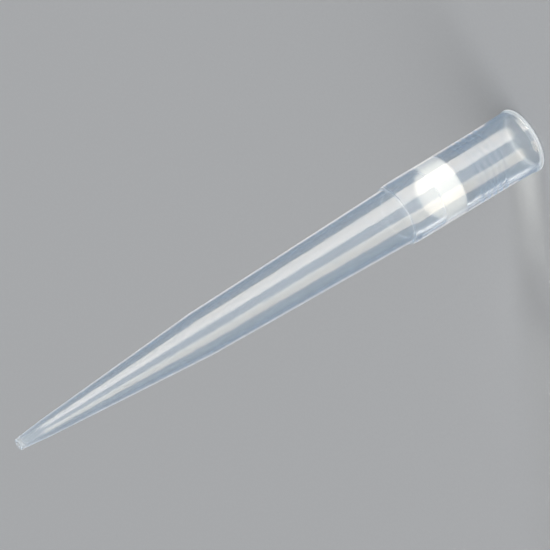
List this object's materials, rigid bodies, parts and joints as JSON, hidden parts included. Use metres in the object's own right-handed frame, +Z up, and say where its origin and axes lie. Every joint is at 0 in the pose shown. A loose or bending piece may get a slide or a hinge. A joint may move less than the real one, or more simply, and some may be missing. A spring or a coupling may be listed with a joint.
{
  "type": "filtered pipette tip",
  "caption": "Clear moulded pipette tip: slender cone, shouldered head with inner sealing ribs, and a white porous filter plug.",
  "frame": {"origin": "on the bench, at the middle of the mouth's rim that the tip stands on", "axes": "+Z up along the tip's axis, from the mouth to the narrow end. The tip is turned all round, so +X and +Y are two level directions at right angles."},
  "size_m": [0.0092, 0.0092, 0.084],
  "materials": {
    "clear_polypropylene": "gloss",
    "porous_polyethylene": "matte"
  },
  "bodies": {
    "root": {"tip_body": "clear_polypropylene", "filter_plug": "porous_polyethylene"}
  },
  "joints": []
}
